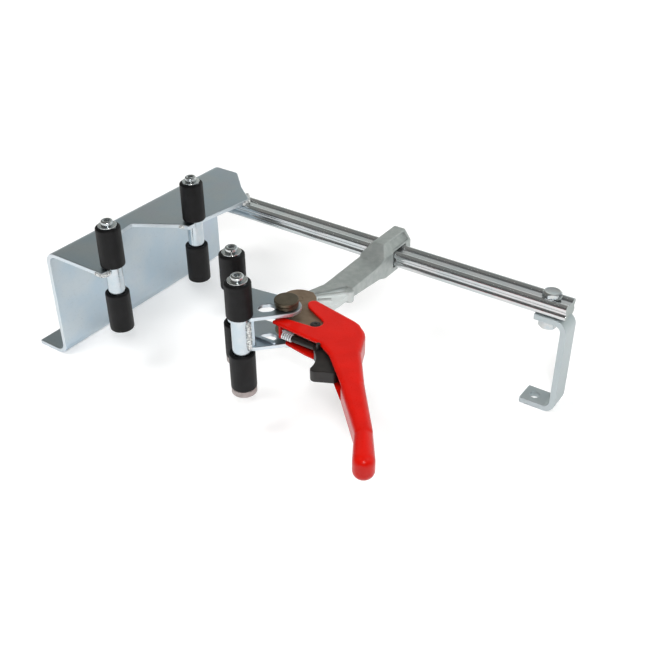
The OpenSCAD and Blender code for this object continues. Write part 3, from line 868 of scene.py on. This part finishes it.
def make_fixed_jaw():
    """Bent sheet: sole, web, and a flange with an ear for each post and a tab over the rail."""
    sheet_t = 5.0
    bend_mid = 9.5 + sheet_t / 2
    flange_run = 200.0
    corner = 1.5
    rim = 0.9
    low, high = span("fixed_jaw")
    outer = bend_mid + sheet_t / 2
    sole = web_x - low.x - outer
    web = high.z - 2 * outer
    path = folded((low.x, sheet_t / 2), 0, [sole, (90, bend_mid), web, (-90, bend_mid), flange_run])
    shift = sole + web + math.pi * bend_mid - (web_x + bend_mid - sheet_t / 2)

    def flat(x, y, radius):
        """Corner of the finished flange, as a corner of the sheet before it is bent."""
        return x + shift, y, radius

    far, near = upright_spots("fixed_posts")
    post_gap = far[1] - near[1]
    ear = bar_r + 2
    near_ear = [flat(near[0] + 2, low.y, 2), flat(near[0] + 4, near[1], 3),
                flat(near[0] - 8, near[1] + ear, 3)]
    notch_x, notch_y = near[0] - 53, far[1] - 0.365 * post_gap
    notch = [flat(notch_x + 2.5, notch_y - 0.14 * post_gap, 5), flat(notch_x, notch_y, 3)]
    far_ear = [flat(far[0] - 4, far[1] - ear - 6, 2), flat(far[0] + 6, far[1] - ear - 5, 2),
               flat(far[0] + 7, far[1] + ear, 3)]
    tab_x = high.x - 2
    tab = [flat(tab_x, rail_low.y - 8, 3), flat(tab_x + 2, -3, 4), flat(tab_x - 26, high.y - 29, 30),
           flat(tab_x - 52, high.y - 4, 3), flat(tab_x - 57, high.y, 3)]
    outline = rounded([(0, low.y, corner)] + near_ear + notch + far_ear + tab + [(0, high.y, corner)])
    sheet = bent_sheet([outline], sheet_t, rim, path)
    piece("jaw_sheet", sheet, "base", zinc, "zinc_plate", "fixed_jaw")


def make_sleeves(name, body, node, spots):
    """Rubber tubes with rounded rims and a small countersink in each mouth."""
    low, high = span(node)
    sleeve_r = 13.0
    rim = 1.9
    mouth = 0.9
    bore = bar_r + clearance
    profile = [(bore, low.z + mouth), (bore + mouth, low.z)]
    profile += fillet(sleeve_r - rim, low.z + rim, rim, -90, 0)
    profile += fillet(sleeve_r - rim, high.z - rim, rim, 0, 90)
    profile += [(bore + mouth, high.z), (bore, high.z - mouth)]
    tubes = at_spots(turned(profile, closed=True), spots)
    piece(name, tubes, body, rubber, "rubber", node)


def make_bars(name, body, node, spots):
    """Bars with a small chamfer at both ends."""
    low, high = span(node)
    chamfer = 0.8
    profile = [(bar_r - chamfer, low.z), (bar_r, low.z + chamfer), (bar_r, high.z - chamfer),
               (bar_r - chamfer, high.z)]
    piece(name, at_spots(turned(profile), spots), body, bar_upright, "bright_bar", node)


def make_washers(name, body, node, spots):
    """Washers with rounded outer rims."""
    low, high = span(node)
    rim = 0.5
    outer = 9.75
    bore = 4.3
    profile = [(bore, low.z)] + fillet(outer - rim, low.z + rim, rim, -90, 0, 3)
    profile += fillet(outer - rim, high.z - rim, rim, 0, 90, 3) + [(bore, high.z)]
    piece(name, at_spots(turned(profile, closed=True), spots), body, small_zinc, "zinc_plate", node)


def make_screws(name, body, node, spots):
    """Cap screws with a rounded head and a hexagon socket."""
    low, high = span(node)
    head_r = 6.3
    head_h = 5.0
    shank = 4.0
    rim = 1.7
    edge = 0.3
    mouth_r = 3.9
    mouth = 0.5
    socket_depth = 2.6
    drilled_depth = 3.1
    socket = hexagon(6.0)
    seat = high.z - head_h
    profile = [(shank, low.z), (shank, seat), (head_r - edge, seat), (head_r, seat + edge)]
    profile += fillet(head_r - rim, high.z - rim, rim, 0, 90)
    profile += [(mouth_r, high.z), (socket, high.z - mouth)]
    profile += [(socket, high.z - socket_depth), (0, high.z - drilled_depth)]
    piece(name, at_spots(turned(profile), spots), body, small_zinc, "zinc_plate", node)


def make_foot():
    """Strap bent twice, its upper flange bolted under the rail and its lower one on the floor."""
    low, high = span("foot_bracket")
    strap_t = 6.5
    bend_mid = 7.0 + strap_t / 2
    top_len = 36.0
    corner = 1.5
    rim = 0.7
    bolt_hole_r = 5.3
    anchor_hole_r = 5.25
    outer = bend_mid + strap_t / 2
    foot_len = high.x - low.x
    leg = high.z - low.z - 2 * outer
    start = high.x - top_len
    path = folded((start, high.z - strap_t / 2), 0,
                  [top_len - outer, (-90, bend_mid), leg, (-90, bend_mid), foot_len - outer])
    total = top_len + foot_len - 2 * outer + leg + math.pi * bend_mid
    outline = rounded([(0, low.y, corner), (total, low.y, corner),
                       (total, high.y, corner), (0, high.y, corner)])
    bolt_hole = circle((middle_of("foot_bolt").x - start, 0), bolt_hole_r)
    # The anchor hole is at the frame's origin
    anchor_hole = circle((total + low.x, 0), anchor_hole_r)
    strap = bent_sheet([outline, bolt_hole, anchor_hole], strap_t, rim, path)
    piece("foot_strap", strap, "base", foot_zinc, "zinc_plate", "foot_bracket")


def hex_head(flats, low, high, chamfer_low=False):
    """Profile of a hexagon with its corners turned off at the top, and at the bottom if asked."""
    turn = -35
    face = 0.94 * flats / 2
    slope = math.tan(math.radians(30))
    side = hexagon(flats, turn)
    profile = []
    if chamfer_low:
        profile += [(face, low), (side, lambda angle: low + (side(angle) - face) * slope)]
    else:
        profile += [(side, low)]
    return profile + [(side, lambda angle: high - (side(angle) - face) * slope), (face, high)]


def make_bolt():
    """Bolt, washer and nut that hold the foot under the rail."""
    low, high = span("foot_bolt")
    nut_low, nut_high = span("foot_nut")
    under, seat = (corner.z for corner in span("foot_washer"))
    axis = [(middle_of("foot_bolt").x, 0)]
    sides = 72
    flats = 17.0
    thread_r = 5.0
    thread_depth = 0.75
    pitch = 1.5
    point, point_h = 0.9, 0.6
    bolt = [(thread_r - point, low.z)]
    level = low.z + point_h
    while level < nut_low.z:
        bolt += [(thread_r, level), (thread_r - thread_depth, level + pitch / 2)]
        level += pitch
    bolt += [(thread_r, nut_low.z), (thread_r, seat)] + hex_head(flats, seat, high.z)
    dish_r, dish_floor_r = 0.8 * flats / 2, 0.76 * flats / 2
    dish = high.z - 0.25
    bolt += [(dish_r, high.z), (dish_floor_r, dish), (0, dish)]
    bolt = at_spots(turned(bolt, sides), axis)
    piece("foot_bolt_hex", bolt, "base", small_zinc, "zinc_plate", "foot_bolt")
    bore = thread_r + clearance
    sink, sink_h = 0.6, 0.5
    nut = hex_head(flats, nut_low.z, nut_high.z, chamfer_low=True)
    nut += [(bore, nut_high.z), (bore, nut_low.z + sink_h), (thread_r + sink, nut_low.z)]
    nut = at_spots(turned(nut, sides, closed=True), axis)
    piece("foot_nut_hex", nut, "base", small_zinc, "zinc_plate", "foot_nut")
    rim = 0.4
    washer_r = 10.0
    washer_bore = 5.3
    washer = [(washer_bore, under), (washer_r - rim, under), (washer_r, under + rim)]
    washer += [(washer_r, seat - rim), (washer_r - rim, seat), (washer_bore, seat)]
    washer = at_spots(turned(washer, closed=True), axis)
    piece("foot_bolt_washer", washer, "base", small_zinc, "zinc_plate", "foot_washer")


def make_fixed_welds():
    """Beads that hold the posts to the flange and the rail to the tab and the web."""
    jaw_low, jaw_high = span("fixed_jaw")
    top = jaw_high.z
    under = rail_high.z
    far, near = upright_spots("fixed_posts")
    beads = []
    for post in (far, near):
        ring = [(*p, under - 0.3) for p in arc(post, bar_r + 0.6, 80, 290, 26)]
        beads.append(weld_bead(ring, radius=2.0))
        for angle in (85, 285):
            side = Vector(post) + (bar_r + 0.4) * ray(angle)
            beads.append(weld_bead([(*side, under - 1), (*side, top - 0.5)], radius=1.9))
    front = jaw_low.y
    edge = top - 3
    near_ear = [(near[0] - 9, front + 0.6, edge), (near[0] + 1, front + 0.4, edge),
                (near[0] + 4, front + 5, edge), (near[0] + 3, near[1] - bar_r, edge)]
    beads.append(weld_bead(near_ear, radius=2.4))
    far_ear = [(far[0] - 10, far[1] - 17, edge), (far[0] - 3, far[1] - 17, edge),
               (far[0] + 2, far[1] - bar_r - 1, edge)]
    beads.append(weld_bead(far_ear, radius=2.3))
    tab = jaw_high.x
    tab_lip = [(tab - 2.5, rail_low.y - 1, under + 1), (tab - 0.5, -4, under + 1.4),
               (tab - 6, 3, under + 1.4), (tab - 14, rail_high.y - 1, under + 1)]
    beads.append(weld_bead(tab_lip, radius=2.6))
    seam_x = web_x + 0.8
    for y in (rail_low.y, rail_high.y):
        beads.append(weld_bead([(seam_x, y, rail_low.z), (seam_x, y, rail_high.z - 4)], radius=2.2))
    piece("fixed_welds", joined(beads), "base", weld_zinc, "zinc_plate")


def make_arm():
    """Cast arm: a shallow panel in each side of its head, and a lower tongue with two fins and a boss."""
    high = span("sliding_arm")[1]
    top = mid_z + 5.5
    lowered = top - 4.5
    edge = 0.3
    # Plan points of the tongue are counted from the inner corner of its step
    inner = (pin + Vector((-5, 52.5, 0))).xy
    step = ((0, 0), (10.5, 13), (19.5, 29), (42, 29), (42, -18), (12.5, -17.5))
    fins = (((1.5, -2), (24, 20.5)), ((9.5, -5.5), (19, 2)))
    fin_r = 1.1
    boss = 25.5, 25.5
    boss_r = 5
    tools = [plate([[inner + Vector(p) for p in step]], lowered, high.z, edge)]
    # The panels lie in the head's two slopes, each on its own side of the head's middle
    head_x = pin.x + 8
    panel_out, panel_up = 10.5, 15.5
    panel_depth = 2.3
    slope = Vector((-8, 0, 11)).normalized()
    outward = Vector((11, 0, 8)).normalized()
    panel = rounded([(-12, -4.6, 1.5), (19, -4.6, 1.5), (19, 4.6, 1.5), (-12, 4.6, 1.5)])
    for side in (1, -1):
        tool = plate([panel], -panel_depth, 4, edge)
        axes = Matrix(((0, slope.x * side, outward.x * side), (1, 0, 0), (0, slope.z, outward.z)))
        spot = (head_x + panel_out * side, 0, mid_z + panel_up)
        tool.transform(Matrix.Translation(spot) @ axes.to_4x4())
        if side < 0:
            tool.flip_normals()
        tools.append(tool)
    extras = []
    for a, b in fins:
        fin = limb(inner + Vector(a), fin_r, inner + Vector(b), fin_r, steps=6)
        extras.append(plate([fin], lowered - 2, top - 0.8, edge))
    extras.append(plate([circle(inner + Vector(boss), boss_r)], mid_z - 9, top - 1, 1.6))
    shape = joined([carved(cad_shape("sliding_arm"), tools)] + extras)
    shape = worn(shape, voxel=0.6, rounds=5)
    piece("cast_arm", shape, "arm", cast_zinc, "zinc_casting", "sliding_arm")


def make_cheeks():
    """The lever's two steel cheeks with their edges worn."""
    for node in ("upper_cheek", "lower_cheek"):
        cheek = worn(cad_shape(node), voxel=0.4, rounds=3)
        piece(node + "_worn", cheek, "lever", brown, "brown_steel", node)


def make_jaw_pin():
    """Jaw pin with a broad flat head on a band that is nearly as wide, and a fine groove between them."""
    low, high = span("jaw_pin")
    shaft = 7.0
    chamfer = 1
    head_r = 12.0
    head_h = 4.0
    rim = 0.9
    dimple_r, dimple = 2.2, 0.3
    groove, groove_h = 0.8, 0.5
    seat = high.z - head_h
    band_r = head_r - 0.3
    band_low = seat - 3.9
    profile = [(shaft - chamfer, low.z), (shaft, low.z + chamfer), (shaft, band_low)]
    profile += fillet(band_r - rim, band_low + rim, rim, -90, 0, 4)
    profile += [(band_r, seat - groove_h), (band_r - groove, seat)]
    profile += fillet(head_r - rim, seat + rim, rim, -90, 0, 4)
    profile += fillet(head_r - rim, high.z - rim, rim, 0, 90, 4)
    profile += [(dimple_r, high.z), (0, high.z - dimple)]
    disc = moved(turned(profile, sides=96), pin.x, pin.y, 0)
    piece("jaw_pin_disc", disc, "lever", dark_brown, "brown_steel", "jaw_pin")


def make_rivet():
    """Rivet through the cheeks and the lever, with a dimple in its upper head."""
    low, high = span("lever_rivet")
    shank = 3.5
    head = 5.0
    head_h = 0.9
    edge = 0.5
    profile = [(0, low.z), (head - 1, low.z), (head, low.z + edge), (head, low.z + head_h)]
    profile += [(shank, low.z + head_h), (shank, high.z - head_h), (head, high.z - head_h)]
    profile += [(head, high.z - edge), (head - 0.8, high.z - 0.1)]
    profile += [(2.0, high.z), (1.5, high.z - 0.5), (0, high.z - 0.7)]
    heads = moved(turned(profile, sides=48), rivet.x, rivet.y, 0)
    piece("rivet_heads", heads, "lever", black, "brown_steel", "lever_rivet")


def lever_envelope():
    """Solid that holds the lever inside large rounded edges, roundest towards the handle's end."""
    low, high = span("lever")
    lever_len = 192.0
    handle_way = -43.4
    hub = rivet.xy

    def off(x, y):
        """Plan point off the hub."""
        return hub + Vector((x, y))

    def along(reach, way):
        """Plan point at a share of the lever's length from the hub, some degrees off the handle's line."""
        return hub + lever_len * reach * ray(handle_way + way)

    head = off(30, -3)
    # The handle as circles from the head to the tip: centre, radius and rim of the slab that ends there
    stations = [
        (head, 24, 4),
        (along(0.275, 18.5), 15.5, 4),
        (along(0.5, 7.8), 11, 4.5),
        (along(0.835, 2.7), 7.9, 5.5),
        (along(1, 0), 9.4, 7.6),
    ]
    slabs = []
    for (a, radius_a, _), (b, radius_b, rim) in zip(stations, stations[1:]):
        slabs.append(plate([limb(a, radius_a, b, radius_b)], low.z, high.z, rim, steps=6))
    # The head with its horn along the cheek, its long prong in front and the lower plate's shorter one
    rim = 1.9
    hub_r = 10
    root_r = 9
    head_r = 22.5
    prong_r = 2.2
    edge = off(12, -23)
    prong_back, prong_tip = off(-31.3, -13.2), off(-33.8, -19.5)
    lower_tip = off(-20.5, -17.5)
    limbs = [
        (hub, hub_r, head, head_r),
        (off(-21, 27), 6, head + Vector((-4, 4)), head_r),
        (hub, hub_r, edge, prong_r),
        (edge, prong_r, head, head_r),
        (prong_back, prong_r, prong_tip, prong_r),
        (prong_tip, prong_r, edge, prong_r),
        (prong_back, prong_r, hub, root_r),
        (lower_tip, prong_r, edge, prong_r),
        (lower_tip, prong_r, hub, root_r),
    ]
    outlines = [limb(*ends) for ends in limbs] + [[prong_back, prong_tip, edge, hub]]
    slabs += [plate([outline], low.z, high.z, rim, steps=4) for outline in outlines]
    return worn(joined(slabs), voxel=0.7, rounds=2, keep=0.5)


def make_lever():
    """Red dipped lever and the trigger in it."""
    shell = carved(cad_shape("lever"), [lever_envelope()], "INTERSECT")
    shell = worn(shell, voxel=0.5, rounds=5)
    piece("red_lever", shell, "lever", red, "red_coat", "lever")
    grip = worn(cad_shape("trigger"), voxel=0.45, rounds=7)
    piece("black_trigger", grip, "trigger", black, "black_plastic", "trigger")


def make_plunger():
    """Turned plunger: a thin guide inside the spring and a thicker rod that the trigger pushes."""
    low, high = span("plunger")
    y, z = middle_of("plunger").yz
    rod_r = (high.z - low.z) / 2
    rod_len = 26
    guide_r = 2.8
    edge = 0.5
    nose = 1.2
    shoulder = high.x - rod_len
    profile = [(guide_r - edge, low.x), (guide_r, low.x + edge), (guide_r, shoulder)]
    profile += [(rod_r - edge, shoulder), (rod_r, shoulder + edge)]
    profile += [(rod_r, high.x - nose), (rod_r - nose, high.x)]
    rod = turned(profile, sides=40)
    axes = Matrix(((0, 0, 1), (0, 1, 0), (-1, 0, 0)))
    rod.transform(Matrix.Translation((0, y, z)) @ axes.to_4x4())
    piece("black_plunger", rod, "plunger", black, "black_plastic", "plunger")


def make_spring():
    """Coil between its seat on the lever and the plunger's shoulder."""
    low, high = span("plunger_spring")
    wire_r = 0.8
    coil_r = (high.z - low.z) / 2 - wire_r
    y, z = (low.y + high.y) / 2, (low.z + high.z) / 2
    curls = 5
    steps = 24
    first, last = low.x + wire_r, high.x - wire_r
    path = []
    for i in range(curls * steps + 1):
        share = i / (curls * steps)
        out = coil_r * ray(360 * i / steps)
        path.append(Vector((first + (last - first) * share, y + out.y, z + out.x)))
    wire = tube(path, wire_r)
    coil = piece("plunger_coil", wire, "lever", coil_wire, "bright_bar", "plunger_spring")
    travel = next(j["range_m"] for j in frame["joints"] if j["name"] == "plunger_slide")
    length = (high.x - low.x) * MM
    1 - (travel[1] - travel[0]) / length
    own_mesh(coil)


def make_moving_jaw():
    """Two slotted plates with the wall between them, and the beads that weld them to the posts."""
    plate_gap = 30.0
    bead_end = 3

    def outside(face):
        """Whether a face belongs to the plates and not to the wall between them."""
        return abs(face.center.z - mid_z) > plate_gap / 2

    plates = worn(cad_shape("moving_jaw"), voxel=0.45, rounds=3)
    # Painted edge highlight on the plates' rims and walls, none on the wall between them.
    mark_cut_and_highlight(plates, lambda face: highlight_share(face) * outside(face))
    piece("moving_jaw_plates", plates, "jaw", zinc, "zinc_plate", "moving_jaw")
    beads = []
    low, high = span("moving_jaw")
    for x, y in upright_spots("moving_posts"):
        towards = math.degrees(math.atan2(pin.y - y, pin.x - x))
        for turn in (-55, 0, 55):
            side = Vector((x, y)) + ray(towards + turn) * bar_r
            ends = [(*side, low.z + bead_end), (*side, high.z - bead_end)]
            beads.append(weld_bead(ends, radius=2.8, pitch=3.2))
    piece("moving_welds", joined(beads), "jaw", weld_zinc, "zinc_plate")


def make_caps():
    """Discs under the moving posts with rounded edges, each on a stem in its post."""
    low, high = span("post_caps")
    radius = 12.75
    rim = 1.0
    top = low.z + 6.5
    edge = 0.4
    stem_r = 4
    profile = [(0, low.z)] + fillet(radius - rim, low.z + rim, rim, -90, 0, 4)
    profile += [(radius, top - edge), (radius - edge, top), (stem_r, top), (stem_r, high.z)]
    discs = at_spots(turned(profile), upright_spots("moving_posts"))
    piece("post_cap_discs", discs, "jaw", cap_brown, "brown_steel", "post_caps")


def finish_cad_nodes():
    """Finishes for the small nodes that keep their own shape."""
    finishes = {"pivot_pin": brown, "jaw_pin_collars": small_zinc, "jaw_pin_keeper": small_zinc,
                "trigger_pin": black}
    for node, finish in finishes.items():
        mesh = frame["nodes"][node].data
        mesh.materials.clear()
        mesh.materials.append(finish)


make_camera()
make_studio()
make_rail()
make_fixed_jaw()
for body, jaw in (("base", "fixed"), ("jaw", "moving")):
    spots = upright_spots(jaw + "_posts")
    make_bars(jaw + "_bars", body, jaw + "_posts", spots)
    make_sleeves(jaw + "_upper_tubes", body, jaw + "_upper_sleeves", spots)
    make_sleeves(jaw + "_lower_tubes", body, jaw + "_lower_sleeves", spots)
    make_washers(jaw + "_washers", body, jaw + "_post_washers", spots)
    make_screws(jaw + "_screws", body, jaw + "_post_screws", spots)
make_foot()
make_bolt()
make_fixed_welds()
make_arm()
make_cheeks()
make_jaw_pin()
make_rivet()
make_lever()
make_plunger()
make_spring()
make_moving_jaw()
make_caps()
finish_cad_nodes()
